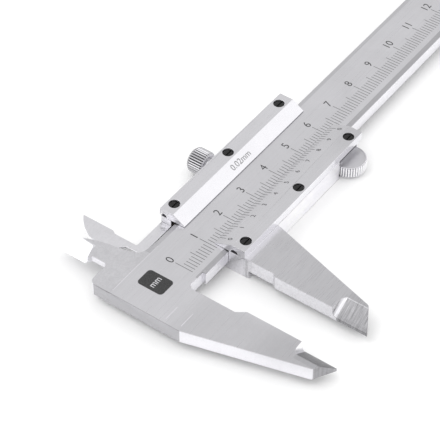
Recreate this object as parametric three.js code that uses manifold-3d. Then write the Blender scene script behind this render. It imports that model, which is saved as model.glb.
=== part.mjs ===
// Vernier caliper, 0-150 mm by 0.02 mm, with knife-edged outside jaws, crossing inside jaws,
// a screwed-on vernier plate, a lock screw, a thumb roller and a depth rod.
//
// The caliper lies on the slider's back. Before the last shift, x runs along the beam from the
// scale's zero line, y runs across it from the beam's lower edge towards the inside jaws, and z is
// the height above the slider's back. Everything is in millimetres.
import * as THREE from "three";
import { mergeVertices } from "three/addons/utils/BufferGeometryUtils.js";
import Module from "manifold-3d";

const wasm = await Module();
wasm.setup();

// ---- Driving dimensions ----
const OPENING = 13;               // jaw opening as modelled
const FACE_X = -2.8;              // measuring face, from the scale's zero line
const JAW_LENGTH = 41;            // outside jaw tip below the beam's lower edge
const INSIDE_TOP = 38.1;          // inside jaw tip above the beam's lower edge
const INSIDE_X = -11.7;           // both inside jaws' edges lie here when the caliper is closed

const BEAM_WIDTH = 16.4;
const BEAM_THICK = 3.9;
const BEAM_END = 214;
const BEAM_HEAD = -17.2;          // left end of the fixed jaw
const EDGE_STRIP = 1.3;           // width of the bevelled strips along the beam's edges
const EDGE_DROP = 0.3;            // how far they fall
const HEAD_DROP = 0.15;           // the head above the scribed line lies this much lower

const BACK_THICK = 2.25;          // slider plate behind the beam
const RUNNING = 0.05;             // running clearance between beam and slider
const SLIDER_LEFT = 10.8 - OPENING;
const SLIDER_RIGHT = 63.7 - OPENING;
const SLIDER_LOW = -4.9;
const SLIDER_HIGH = 21;
const GIB_WALL = 17.6;            // inner wall of the slider's upper rail
const CORNER = 0.5;               // rounding of the slider's upright edges
const LUG_DROP = 1.25;            // the slider's left end stands this far below its lower edge
const LUG_LENGTH = 2.6;

const PLATE_THICK = 2.5;          // front plates
const PLATE_LAND = 4;             // their flat outer bands
const PLATE_EDGE = 0.3;           // thickness left at a bevel's foot
const UPPER_WINDOW = 13.4;        // foot of the upper plate's bevel
const VERNIER_WINDOW = 4.2;       // foot of the vernier plate's bevel
const PLATE_SCREW_X = [14.1, 37.15, 60.2].map((x) => x - OPENING);
const PLATE_SCREW_HEAD = 1.35;
const PLATE_SCREW_SHANK = 0.8;
const PLATE_SCREW_LENGTH = 2.7;
const HEAD_THICK = 0.9;
const SINK = 1.4;                 // depth of the counterbores
const SINK_RADIUS = 1.5;
const TAPPED = 0.85;              // radius of the screw holes
const SLOT_HALF = 0.2;            // half the width of a screw's slot

const BEAM_Z = BACK_THICK + RUNNING;        // beam's back
const FRONT_Z = BEAM_Z + BEAM_THICK;        // beam's front face
const SEAT_Z = FRONT_Z + RUNNING;           // slider's rails, which carry the plates
const PLATE_Z = SEAT_Z + PLATE_THICK;
const HALF_Z = BEAM_Z + BEAM_THICK / 2;     // plane where the inside jaws pass each other
const PASS_GAP = 0.05;                      // each inside jaw keeps this from that plane

const KNIFE_START = -32.3;        // the outside jaws' knives are full from here to their tips
const KNIFE_THICK = 0.9;
const KNIFE_WHEEL = 1.3;          // radius left above them by the grinding wheel
const FIXED_KNIFE_WIDTH = 4.1;
const MOVING_KNIFE_WIDTH = 4.9;
const TIP_WIDTH = 5.7;
const TIP_Y = -37.6;              // back corner of each outside jaw's tip
const TIP_RADIUS = 1;
const JAW_RELIEF = 0.75;          // the moving jaw stands back this far above its measuring face

const BEVEL_START = 26.3;         // the inside jaws' bevels start here on their knife edges
const BEVEL_FAR_START = 28.4;     // and here on their far sides
const BEVEL_CORNER = 1.4;
const FIXED_BEVEL_WIDTH = 4.9;
const MOVING_BEVEL_WIDTH = 4.6;

const ROLLER_RADIUS = 4.65;
const ROLLER_X = 58.3 - OPENING;
const ROLLER_Y = -0.1 - ROLLER_RADIUS;
const ROLLER_Z = 0.6;
const ROLLER_THICK = 3.4;
const ROLLER_ROOM = 0.4;          // clearance round it in the slider
const RAIL_CUT = 1.05;            // the rail over it stands back this far
const EAR_THICK = 0.5;
const EAR_RADIUS = 2.2;
const PIN_RADIUS = 0.75;
const PIN_DEPTH = 2;              // how far the pin stands in the roller's blind bore

const LOCK_X = 34 - OPENING;
const LOCK_Z = FRONT_Z - 2;
const LOCK_SHANK = 1.25;
const LOCK_HEAD = 3.5;
const PAD_Y = 17.4;
const PAD_THICK = 0.7;

const GIB_THICK = 0.65;
const GIB_Y = BEAM_WIDTH + RUNNING;
const GIB_INSET = 3.6;            // its ends lie this far inside the slider's
const GIB_SCREW_X = [19 - OPENING, 52 - OPENING];
const GIB_SCREW_RADIUS = 0.85;
const GIB_SCREW_LENGTH = 3.2;

const ROD_WIDTH = 2.8;
const ROD_THICK = 1.4;
const ROD_Y = 8.2;                // centre of the depth rod and its groove
const ROD_START = 50 - OPENING;
const RIVET_X = [53 - OPENING, 59 - OPENING];

const END_PLATE_LENGTH = 8;
const END_PLATE_THICK = 1.4;
const END_SCREW_Y = [3.6, BEAM_WIDTH - 3.6];

const ROUND_SIDES = 28;

// ---- Materials ----
function finish(color, roughness, metalness = 1) {
  return new THREE.MeshStandardMaterial({ color, roughness, metalness });
}

// ---- Solids ----

// A closed body from any closed three.js geometry.
function solid(geometry) {
  const bare = geometry.clone();
  bare.deleteAttribute("normal");
  bare.deleteAttribute("uv");
  const merged = mergeVertices(bare);
  const vertProperties = new Float32Array(merged.attributes.position.array);
  const triVerts = new Uint32Array(merged.index.array);
  return new wasm.Manifold(new wasm.Mesh({ numProp: 3, vertProperties, triVerts }));
}

// A named mesh from a body.
function piece(name, body, material) {
  const data = body.getMesh();
  const geometry = new THREE.BufferGeometry();
  geometry.setAttribute("position", new THREE.BufferAttribute(new Float32Array(data.vertProperties), 3));
  geometry.setIndex(new THREE.BufferAttribute(new Uint32Array(data.triVerts), 1));
  geometry.computeVertexNormals();
  const mesh = new THREE.Mesh(geometry, material);
  mesh.name = name;
  return mesh;
}

// Corner points [x, y, radius] to an outline whose corners with a radius are arcs.
function outline(corners, steps = 5) {
  const points = [];
  corners.forEach(([x, y, radius = 0], index) => {
    const here = new THREE.Vector2(x, y);
    if (radius === 0) {
      points.push(here);
      return;
    }
    const before = corners[(index + corners.length - 1) % corners.length];
    const after = corners[(index + 1) % corners.length];
    const back = new THREE.Vector2(before[0], before[1]).sub(here).normalize();
    const ahead = new THREE.Vector2(after[0], after[1]).sub(here).normalize();
    const half = Math.acos(THREE.MathUtils.clamp(back.dot(ahead), -1, 1)) / 2;
    const middle = back.clone().add(ahead).normalize();
    const centre = here.clone().addScaledVector(middle, radius / Math.sin(half));
    const first = here.clone().addScaledVector(back, radius / Math.tan(half)).sub(centre);
    const last = here.clone().addScaledVector(ahead, radius / Math.tan(half)).sub(centre);
    const turn = Math.atan2(first.cross(last), first.dot(last));
    for (let step = 0; step <= steps; step += 1) {
      points.push(first.clone().rotateAround(new THREE.Vector2(), (turn * step) / steps).add(centre));
    }
  });
  return points;
}

const rectangle = (x0, y0, x1, y1) => outline([[x0, y0], [x1, y0], [x1, y1], [x0, y1]]);

function circle(x, y, radius, sides = ROUND_SIDES) {
  return Array.from({ length: sides }, (_, index) => {
    const angle = (2 * Math.PI * index) / sides;
    return new THREE.Vector2(x + radius * Math.cos(angle), y + radius * Math.sin(angle));
  });
}

// A circle with straight ribs, as knurling shows it end on.
function ribbed(x, y, radius, ribs, depth) {
  return Array.from({ length: ribs * 2 }, (_, index) => {
    const angle = (Math.PI * index) / ribs;
    const reach = radius - (index % 2) * depth;
    return new THREE.Vector2(x + reach * Math.cos(angle), y + reach * Math.sin(angle));
  });
}

function extrusion(points, depth) {
  return new THREE.ExtrudeGeometry(new THREE.Shape(points), { depth, bevelEnabled: false });
}

// Extrusions of an outline: in x, y along z; in y, z along x; and in x, z along y.
function alongZ(points, z0, z1) {
  return solid(extrusion(points, z1 - z0).translate(0, 0, z0));
}

function alongX(points, x0, x1) {
  const geometry = extrusion(points, x1 - x0);
  const turn = new THREE.Matrix4().set(0, 0, 1, x0, 1, 0, 0, 0, 0, 1, 0, 0, 0, 0, 0, 1);
  return solid(geometry.applyMatrix4(turn));
}

function alongY(points, y0, y1) {
  const swapped = points.map((point) => new THREE.Vector2(point.y, point.x));
  const geometry = extrusion(swapped, y1 - y0);
  const turn = new THREE.Matrix4().set(0, 1, 0, 0, 0, 0, 1, y0, 1, 0, 0, 0, 0, 0, 0, 1);
  return solid(geometry.applyMatrix4(turn));
}

// Turned bodies from [radius, height] pairs, starting and ending on the axis: about y, and about z.
function latheY(profile, sides) {
  return new THREE.LatheGeometry(profile.map(([r, y]) => new THREE.Vector2(r, y)), sides);
}

function turnedY(profile, sides = ROUND_SIDES) {
  return solid(latheY(profile, sides));
}

function turnedZ(profile, sides = ROUND_SIDES, x = 0, y = 0, z = 0) {
  return solid(latheY(profile, sides).rotateX(Math.PI / 2).translate(x, y, z));
}

const join = (first, ...others) => others.reduce((sum, other) => sum.add(other), first);
const cut = (body, ...tools) => tools.reduce((rest, tool) => rest.subtract(tool), body);

// ---- Beam with the fixed jaws ----

// What is ground off an outside jaw's front to leave its knife: a wedge that ends in a wall across the
// jaw, with the grinding wheel's round between them. side is the way the measuring face looks.
function knifeCut(side, width) {
  const slope = (FRONT_Z - BEAM_Z - KNIFE_THICK) / width;
  const spare = 1.5;
  const reach = spare * (width + 2);
  const along = new THREE.Vector3(-side, 0, slope).normalize();
  const out = new THREE.Vector3(side * slope, 0, 1).normalize();
  const across = new THREE.Vector3().crossVectors(out, along);
  const foot = new THREE.Vector3(FACE_X, KNIFE_START, BEAM_Z + KNIFE_THICK)
    .addScaledVector(along, -spare);
  const wedge = (lift, end) => {
    const low = foot.clone().addScaledVector(out, lift);
    const high = low.clone().addScaledVector(along, reach);
    return alongY(outline([[low.x, low.z], [high.x, high.z], [low.x, high.z]]), -JAW_LENGTH - 1, end);
  };
  const place = new THREE.Matrix4()
    .makeBasis(across, out, along)
    .setPosition(foot.clone().addScaledVector(out, KNIFE_WHEEL));
  const round = solid(extrusion(circle(0, 0, KNIFE_WHEEL, 48), reach).applyMatrix4(place));
  return join(wedge(0, KNIFE_START), wedge(KNIFE_WHEEL, KNIFE_START + KNIFE_WHEEL), round);
}

// The wedge taken off an inside jaw to leave its knife edge in the plane between the jaws. Seen from
// the front it starts on a slanted line with a round corner.
function insideBevel(edgeX, side, edgeZ, farZ, width) {
  const slope = (farZ - edgeZ) / width;
  const spare = 0.5;
  const reach = width + spare;
  const far = INSIDE_TOP + 1;
  const wedge = alongY(outline([
    [edgeX - side * spare, edgeZ - slope * spare],
    [edgeX + side * reach, edgeZ + slope * reach],
    [edgeX - side * spare, edgeZ + slope * reach],
  ]), BEVEL_START - 1, far);
  const plan = alongZ(outline([
    [edgeX - side, BEVEL_START],
    [edgeX + side * reach, BEVEL_FAR_START, BEVEL_CORNER],
    [edgeX + side * reach, far],
    [edgeX - side, far],
  ]), BEAM_Z - 1, FRONT_Z + 1);
  return wedge.intersect(plan);
}

function beam() {
  const chamferStart = 2.7;
  const headStep = BEAM_WIDTH - EDGE_STRIP;
  const headZ = FRONT_Z - HEAD_DROP;
  const bar = alongX(outline([
    [0, BEAM_Z],
    [BEAM_WIDTH, BEAM_Z],
    [BEAM_WIDTH, FRONT_Z - EDGE_DROP],
    [BEAM_WIDTH - EDGE_STRIP, FRONT_Z],
    [EDGE_STRIP, FRONT_Z],
    [0, FRONT_Z - EDGE_DROP],
  ]), chamferStart - 1.2, BEAM_END);
  const jaw = alongZ(outline([
    [chamferStart, headStep],
    [BEAM_HEAD, headStep],
    [BEAM_HEAD, -5.6],
    [FACE_X - TIP_WIDTH, TIP_Y, TIP_RADIUS],
    [FACE_X, -JAW_LENGTH],
    [FACE_X, -15.3],
    [FACE_X - 1.7, -12.9],
    [FACE_X - 1.7, 0.9, 1.2],
    [chamferStart - 0.4, 0.9, 0.5],
    [chamferStart, 0],
  ]), BEAM_Z, FRONT_Z);
  const headBack = alongZ(outline([
    [BEAM_HEAD, headStep - 1],
    [-14.9, headStep - 1],
    [-14.9, 21.5],
    [BEAM_HEAD, 21.5, 2],
  ]), BEAM_Z, headZ);
  const neckBack = alongZ(rectangle(-15.5, headStep - 1, chamferStart, BEAM_WIDTH), BEAM_Z, headZ);
  const inside = outline([
    [BEAM_HEAD, headStep - 1],
    [chamferStart, headStep - 1],
    [chamferStart, BEAM_WIDTH],
    [1.2, BEAM_WIDTH],
    [-0.9, BEAM_WIDTH + 0.35],
    [-2.3, BEAM_WIDTH + 1.1],
    [-3.2, 19.4],
    [-4, 22.3],
    [-4.4, 25.4],
    [-5.1, 28.3],
    [-6.1, 31],
    [-7.4, 33.5],
    [-9.3, 36],
    [-11.2, INSIDE_TOP - 0.2],
    [INSIDE_X, INSIDE_TOP],
    [INSIDE_X, 27.2],
    [-10.1, 26],
    [-10.1, 21.5, 0.9],
    [BEAM_HEAD, 21.5, 2],
  ]);
  const fin = alongZ(inside, HALF_Z + PASS_GAP, headZ);
  const grooveHalf = ROD_WIDTH / 2 + 0.1;
  const grooveTop = BEAM_Z + ROD_THICK + 0.3;
  const groove = alongX(
    rectangle(ROD_Y - grooveHalf, BEAM_Z - 1, ROD_Y + grooveHalf, grooveTop),
    6,
    BEAM_END + 1,
  );
  const screwX = BEAM_END - END_PLATE_LENGTH / 2;
  const endHoles = END_SCREW_Y.map((y) => alongZ(circle(screwX, y, TAPPED), BEAM_Z - 1, BEAM_Z + 2.6));
  const body = join(bar, jaw, headBack, neckBack, fin);
  const bevel = insideBevel(INSIDE_X, 1, HALF_Z + PASS_GAP, headZ, FIXED_BEVEL_WIDTH);
  return cut(body, knifeCut(1, FIXED_KNIFE_WIDTH), bevel, groove, ...endHoles);
}

// ---- Slider frame with the moving jaws ----

function rollerPocket() {
  const reach = ROLLER_RADIUS + ROLLER_ROOM;
  const round = alongZ(circle(ROLLER_X, ROLLER_Y, reach, 48), EAR_THICK, ROLLER_Z + ROLLER_THICK + 0.2);
  const above = alongZ(
    rectangle(ROLLER_X - reach, SLIDER_LOW - 1, SLIDER_RIGHT + 1, SLIDER_LOW + RAIL_CUT),
    EAR_THICK,
    SEAT_Z + 1,
  );
  const through = alongZ(circle(ROLLER_X, ROLLER_Y, PIN_RADIUS + 0.03), -1, EAR_THICK + 1);
  return [round, above, through];
}

function sliderFrame() {
  const block = alongZ(outline([
    [SLIDER_LEFT, SLIDER_LOW, CORNER],
    [SLIDER_RIGHT, SLIDER_LOW, CORNER],
    [SLIDER_RIGHT, SLIDER_HIGH, CORNER],
    [SLIDER_LEFT, SLIDER_HIGH, CORNER],
  ], 3), 0, SEAT_Z);
  const lug = alongZ(outline([
    [SLIDER_LEFT, SLIDER_LOW - LUG_DROP, CORNER],
    [SLIDER_LEFT + LUG_LENGTH, SLIDER_LOW - LUG_DROP],
    [SLIDER_LEFT + LUG_LENGTH, SLIDER_LOW + CORNER],
    [SLIDER_LEFT, SLIDER_LOW + CORNER],
  ], 3), 0, FRONT_Z);
  const channel = alongZ(
    rectangle(SLIDER_LEFT - 1, -RUNNING, SLIDER_RIGHT + 1, GIB_WALL),
    BACK_THICK,
    SEAT_Z + 1,
  );
  const jaw = alongZ(outline([
    [FACE_X + JAW_RELIEF, -2],
    [FACE_X + JAW_RELIEF, -13.3],
    [FACE_X, -14.4],
    [FACE_X, -JAW_LENGTH],
    [FACE_X + TIP_WIDTH, TIP_Y, TIP_RADIUS],
    [12.3, SLIDER_LOW, 0.6],
    [14, SLIDER_LOW + 0.6],
    [14, -2],
  ]), BEAM_Z, FRONT_Z);
  const neck = outline([
    [SLIDER_LEFT + 3, GIB_WALL],
    [SLIDER_LEFT + 3, 20.6],
    [-12.4, 20.6, 0.4],
    [-12.4, 27.4],
    [INSIDE_X, 28.6],
    [INSIDE_X, INSIDE_TOP],
    [-13.3, 36.9],
    [-15, 35.1],
    [-16.8, 32.3],
    [-17.6, 29],
    [-16.9, 25.2],
    [-14.3, 22.4],
    [-14.3, GIB_WALL],
  ]);
  const fin = alongZ(neck, BEAM_Z, HALF_Z - PASS_GAP);
  const ear = alongZ(circle(ROLLER_X, ROLLER_Y, EAR_RADIUS), 0, EAR_THICK);
  const bevel = insideBevel(INSIDE_X, -1, HALF_Z - PASS_GAP, BEAM_Z, MOVING_BEVEL_WIDTH);
  const knife = knifeCut(-1, MOVING_KNIFE_WIDTH);
  const plateHoles = PLATE_SCREW_X.flatMap((x) => [
    alongZ(circle(x, SLIDER_HIGH - PLATE_LAND / 2, TAPPED, 16), SEAT_Z - 2.5, SEAT_Z + 1),
    alongZ(circle(x, SLIDER_LOW + PLATE_LAND / 2, TAPPED, 16), SEAT_Z - 1.8, SEAT_Z + 1),
  ]);
  const lockHole = alongY(circle(LOCK_X, LOCK_Z, LOCK_SHANK + 0.06), GIB_WALL - 1, SLIDER_HIGH + 1);
  const gibHole = GIB_SCREW_RADIUS + 0.05;
  const gibHoles = GIB_SCREW_X.map((x) =>
    alongY(circle(x, LOCK_Z, gibHole, 16), GIB_WALL - 1, SLIDER_HIGH + 1));
  const rivetHoles = RIVET_X.map((x) => alongZ(circle(x, ROD_Y, 0.75, 16), -1, BACK_THICK + 1));
  const body = join(cut(block, channel), lug, jaw, fin, ear);
  return cut(body, bevel, knife, ...rollerPocket(), ...plateHoles, lockHole, ...gibHoles, ...rivetHoles);
}

// ---- Front plates ----

// A plate with a flat outer band and a long bevel down to the window, drilled and counterbored for
// its screws, with a half-round relief under its left end.
function frontPlate(outerY, windowY, reliefY) {
  const inward = Math.sign(windowY - outerY);
  const profile = [
    [outerY, SEAT_Z],
    [outerY, PLATE_Z],
    [outerY + inward * PLATE_LAND, PLATE_Z],
    [windowY, SEAT_Z + PLATE_EDGE],
    [windowY, SEAT_Z],
  ];
  const section = outline(inward > 0 ? profile.reverse() : profile);
  const plate = alongX(section, SLIDER_LEFT, SLIDER_RIGHT);
  const screwY = outerY + (inward * PLATE_LAND) / 2;
  const holes = PLATE_SCREW_X.flatMap((x) => [
    alongZ(circle(x, screwY, SINK_RADIUS), PLATE_Z - SINK, PLATE_Z + 1),
    alongZ(circle(x, screwY, TAPPED, 16), SEAT_Z - 1, PLATE_Z),
  ]);
  const relief = alongX(circle(reliefY, SEAT_Z, 1.05, 20), SLIDER_LEFT - 1, SLIDER_LEFT + 2.2);
  return cut(plate, relief, ...holes);
}

// ---- Fasteners ----

// A slotted cheese-head screw, head up, with the underside of its head at z = 0.
function cheeseScrew() {
  const head = alongZ(circle(0, 0, PLATE_SCREW_HEAD), 0, HEAD_THICK);
  const shank = alongZ(circle(0, 0, PLATE_SCREW_SHANK, 16), -PLATE_SCREW_LENGTH, 0.1);
  const reach = PLATE_SCREW_HEAD + 1;
  const slot = alongZ(rectangle(-reach, -SLOT_HALF, reach, SLOT_HALF), HEAD_THICK / 2, HEAD_THICK + 1);
  return cut(join(head, shank), slot);
}

// A slotted set screw along y, its tip at y = 0.
function setScrew() {
  const shank = alongY(circle(0, 0, GIB_SCREW_RADIUS, 16), 0, GIB_SCREW_LENGTH);
  const reach = GIB_SCREW_RADIUS + 1;
  const slot = alongY(
    rectangle(-reach, -SLOT_HALF, reach, SLOT_HALF),
    GIB_SCREW_LENGTH - 0.8,
    GIB_SCREW_LENGTH + 1,
  );
  return cut(shank, slot);
}

// A countersunk slotted screw with its head's face at z = 0, looking down.
function countersunkScrew() {
  const profile = [[0, 0], [1.5, 0], [0.8, 0.7], [0.8, 3.6], [0, 3.6]];
  const slot = alongZ(rectangle(-3, -SLOT_HALF, 3, SLOT_HALF), -1, 0.4);
  return cut(turnedZ(profile, 24), slot);
}

// The lock screw: knurled head, thinner collar and threaded shank, tip at y = 0.
function lockScrew() {
  const shankLength = SLIDER_HIGH + 0.3 - PAD_Y - PAD_THICK - 0.05;
  const collarEnd = shankLength + 1.7;
  const headEnd = collarEnd + 5;
  const knurl = alongY(ribbed(0, 0, LOCK_HEAD, 36, 0.2), collarEnd, headEnd);
  const turnedHead = turnedY([
    [0, collarEnd],
    [LOCK_HEAD - 0.5, collarEnd],
    [LOCK_HEAD, collarEnd + 0.5],
    [LOCK_HEAD, headEnd - 1],
    [LOCK_HEAD - 1, headEnd],
    [0, headEnd],
  ], 72);
  const collar = alongY(circle(0, 0, 2.2), shankLength, collarEnd + 0.5);
  const shank = alongY(circle(0, 0, LOCK_SHANK), 0, shankLength + 0.5);
  return join(knurl.intersect(turnedHead), collar, shank);
}

// The thumb roller, axis along z, with its foot at z = 0 and a blind bore for its pin.
function thumbRoller() {
  const knurl = alongZ(ribbed(0, 0, ROLLER_RADIUS, 40, 0.2), 0, ROLLER_THICK);
  const chamfered = turnedZ([
    [0, 0],
    [ROLLER_RADIUS - 0.4, 0],
    [ROLLER_RADIUS, 0.4],
    [ROLLER_RADIUS, ROLLER_THICK - 0.4],
    [ROLLER_RADIUS - 0.4, ROLLER_THICK],
    [0, ROLLER_THICK],
  ], 80);
  const bore = alongZ(circle(0, 0, PIN_RADIUS + 0.05), -1, PIN_DEPTH + 0.2);
  return cut(knurl.intersect(chamfered), bore);
}

// The roller's pin, pressed into the slider's back with its riveted end down.
function rollerPin() {
  return turnedZ([
    [0, 0],
    [PIN_RADIUS, 0],
    [PIN_RADIUS, ROLLER_Z + PIN_DEPTH - 0.2],
    [PIN_RADIUS - 0.2, ROLLER_Z + PIN_DEPTH],
    [0, ROLLER_Z + PIN_DEPTH],
  ]);
}

function endPlate() {
  const plate = alongZ(outline([
    [-END_PLATE_LENGTH, 1.4, 1],
    [0, 1.4, 1],
    [0, BEAM_WIDTH - 1.4, 1],
    [-END_PLATE_LENGTH, BEAM_WIDTH - 1.4, 1],
  ]), -END_PLATE_THICK, 0);
  const seat = [[0, -0.02], [1.6, -0.02], [0.85, 0.73], [0.85, 4], [0, 4]];
  const seats = END_SCREW_Y.map((y) => turnedZ(seat, 24, -END_PLATE_LENGTH / 2, y, -END_PLATE_THICK));
  return cut(plate, ...seats);
}

function depthRod() {
  const tip = BEAM_END;
  const half = ROD_WIDTH / 2;
  const rod = alongZ(outline([
    [ROD_START, ROD_Y - half],
    [tip - 6, ROD_Y - half],
    [tip, ROD_Y - half + 0.3],
    [tip, ROD_Y + half - 1.2],
    [tip - 3, ROD_Y + half - 1.2],
    [tip - 6, ROD_Y + half],
    [ROD_START, ROD_Y + half],
  ]), BEAM_Z + 0.15, BEAM_Z + 0.15 + ROD_THICK);
  const holes = RIVET_X.map((x) => alongZ(circle(x, ROD_Y, 0.75, 16), BEAM_Z - 1, BEAM_Z + 3));
  return cut(rod, ...holes);
}

// ---- Assembly ----
const steel = finish(0xc9cacb, 0.32);
const brightSteel = finish(0xe2e3e4, 0.2);
const blackSteel = finish(0x14140f, 0.45);
const brass = finish(0xc3a25a, 0.35);
const knurledSteel = finish(0xd0d0d0, 0.25);

const caliper = new THREE.Group();
const slider = new THREE.Group();
slider.position.x = OPENING;
caliper.add(slider);

caliper.add(piece("beam", beam(), steel));
slider.add(piece("slider_frame", sliderFrame(), steel));
slider.add(piece("upper_plate", frontPlate(SLIDER_HIGH, UPPER_WINDOW, 20), brightSteel));
slider.add(piece("vernier_plate", frontPlate(SLIDER_LOW, VERNIER_WINDOW, -1.7), brightSteel));

const plateScrewRows = [
  ["upper_plate_screw", SLIDER_HIGH - PLATE_LAND / 2],
  ["vernier_plate_screw", SLIDER_LOW + PLATE_LAND / 2],
];
plateScrewRows.forEach(([name, y]) => {
  PLATE_SCREW_X.forEach((x, index) => {
    const screw = piece(`${name}_${index + 1}`, cheeseScrew(), blackSteel);
    screw.position.set(x, y, PLATE_Z - SINK);
    slider.add(screw);
  });
});

const gibSection = rectangle(GIB_Y, BEAM_Z + 0.2, GIB_Y + GIB_THICK, FRONT_Z - 0.6);
const gib = alongX(gibSection, SLIDER_LEFT + GIB_INSET, SLIDER_RIGHT - GIB_INSET);
slider.add(piece("gib_spring", gib, brass));
GIB_SCREW_X.forEach((x, index) => {
  const screw = piece(`gib_screw_${index + 1}`, setScrew(), blackSteel);
  screw.position.set(x, GIB_Y + GIB_THICK + 0.05, LOCK_Z);
  slider.add(screw);
});

const pad = piece("lock_pad", alongY(circle(0, 0, 1.2), 0, PAD_THICK), brass);
pad.position.set(LOCK_X, PAD_Y, LOCK_Z);
slider.add(pad);
const lock = piece("lock_screw", lockScrew(), knurledSteel);
lock.position.set(LOCK_X, PAD_Y + PAD_THICK + 0.05, LOCK_Z);
slider.add(lock);

const roller = piece("thumb_roller", thumbRoller(), knurledSteel);
roller.position.set(ROLLER_X, ROLLER_Y, ROLLER_Z);
slider.add(roller);
const pin = piece("roller_pin", rollerPin(), steel);
pin.position.set(ROLLER_X, ROLLER_Y, 0);
slider.add(pin);

slider.add(piece("depth_rod", depthRod(), steel));
RIVET_X.forEach((x, index) => {
  const shank = alongZ(circle(0, 0, 0.72, 16), 0, BEAM_Z + ROD_THICK);
  const rivet = piece(`depth_rod_rivet_${index + 1}`, shank, steel);
  rivet.position.set(x, ROD_Y, 0);
  slider.add(rivet);
});

const stop = piece("end_plate", endPlate(), steel);
stop.position.set(BEAM_END, 0, BEAM_Z);
caliper.add(stop);
END_SCREW_Y.forEach((y, index) => {
  const screw = piece(`end_plate_screw_${index + 1}`, countersunkScrew(), steel);
  screw.position.set(BEAM_END - END_PLATE_LENGTH / 2, y, BEAM_Z - END_PLATE_THICK + 0.04);
  caliper.add(screw);
});

// The origin is under the middle of the whole caliper's box, on the surface it lies on.
const LOWEST_Y = -JAW_LENGTH;
const middleX = (BEAM_HEAD + BEAM_END + OPENING) / 2;
const middleY = (LOWEST_Y + INSIDE_TOP) / 2;
caliper.position.set(-middleX, -middleY, 0);

export default caliper;
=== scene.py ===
"""Looks of a vernier caliper: ground and knurled steel, etched scales, black screws, floor, light and camera.

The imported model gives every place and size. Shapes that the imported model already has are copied,
merged and given small worked edges; the knurled wheels, the scales and the etched marks are new
surfaces. Lengths in the dataclasses are in millimetres and become metres in the meshes.
"""

import logging
import math
from collections.abc import Sequence
from dataclasses import dataclass, field
from enum import Enum

import bmesh
import bpy
import numpy as np
from mathutils import Matrix, Vector


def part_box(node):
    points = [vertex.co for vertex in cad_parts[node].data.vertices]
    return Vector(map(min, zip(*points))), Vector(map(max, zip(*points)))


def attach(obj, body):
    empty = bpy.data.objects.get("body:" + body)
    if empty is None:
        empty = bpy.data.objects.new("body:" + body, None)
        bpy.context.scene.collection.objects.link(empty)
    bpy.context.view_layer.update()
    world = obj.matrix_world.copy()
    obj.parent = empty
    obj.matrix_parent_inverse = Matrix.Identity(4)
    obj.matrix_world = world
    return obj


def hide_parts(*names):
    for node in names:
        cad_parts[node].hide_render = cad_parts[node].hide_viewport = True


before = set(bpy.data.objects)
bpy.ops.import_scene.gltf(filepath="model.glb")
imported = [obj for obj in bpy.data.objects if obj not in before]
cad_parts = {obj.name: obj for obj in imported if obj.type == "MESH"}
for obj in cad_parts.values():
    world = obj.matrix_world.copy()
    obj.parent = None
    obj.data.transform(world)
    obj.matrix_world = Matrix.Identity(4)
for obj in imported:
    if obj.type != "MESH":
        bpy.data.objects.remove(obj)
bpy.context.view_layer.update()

# Millimetres to metres, the distances under which points are merged, and a zone's open side.
MM = 0.001
WELD = 0.002 * MM
FINE_WELD = 0.0005 * MM
ANY = 1000.0
log = logging.getLogger("vernier_caliper")

Array = np.ndarray
Socket = bpy.types.NodeSocket


# ---------------------------------------------------------------------------
# Where things are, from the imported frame
# ---------------------------------------------------------------------------

@dataclass(frozen=True)
class Box:
    """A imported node's box, in millimetres."""

    low: tuple[float, float, float]
    high: tuple[float, float, float]

    @classmethod
    def of(cls, node: str) -> "Box":
        """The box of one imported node.

        Args:
            node: The node's name.

        Returns:
            Its box at rest.
        """
        low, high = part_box(node)
        return cls(tuple(c / MM for c in low), tuple(c / MM for c in high))

    def middle(self, axis: int) -> float:
        """The middle of the box along one axis."""
        return (self.low[axis] + self.high[axis]) / 2


@dataclass(frozen=True)
class Layout:
    """The caliper's main lines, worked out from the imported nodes."""

    beam: Box = field(default_factory=lambda: Box.of("beam"))
    slider: Box = field(default_factory=lambda: Box.of("slider_frame"))
    upper: Box = field(default_factory=lambda: Box.of("upper_plate"))
    lower: Box = field(default_factory=lambda: Box.of("vernier_plate"))
    head_length: float = 17.2
    jaw_length: float = 41.0
    opening: float = 13.0

    @property
    def zero_x(self) -> float:
        """The scale's zero line."""
        return self.beam.low[0] + self.head_length

    @property
    def edge_y(self) -> float:
        """The beam's lower edge."""
        return self.beam.low[1] + self.jaw_length

    @property
    def face_z(self) -> float:
        """The beam's front face."""
        return self.beam.high[2]

    @property
    def plate_z(self) -> float:
        """The front of the slider's plates."""
        return self.upper.high[2]

    def place(self, x: float, y: float, z: float) -> tuple[float, float, float]:
        """A point given from the zero line, the beam's lower edge and the resting surface."""
        return (self.zero_x + x, self.edge_y + y, z)


# ---------------------------------------------------------------------------
# Shader building
# ---------------------------------------------------------------------------

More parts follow.
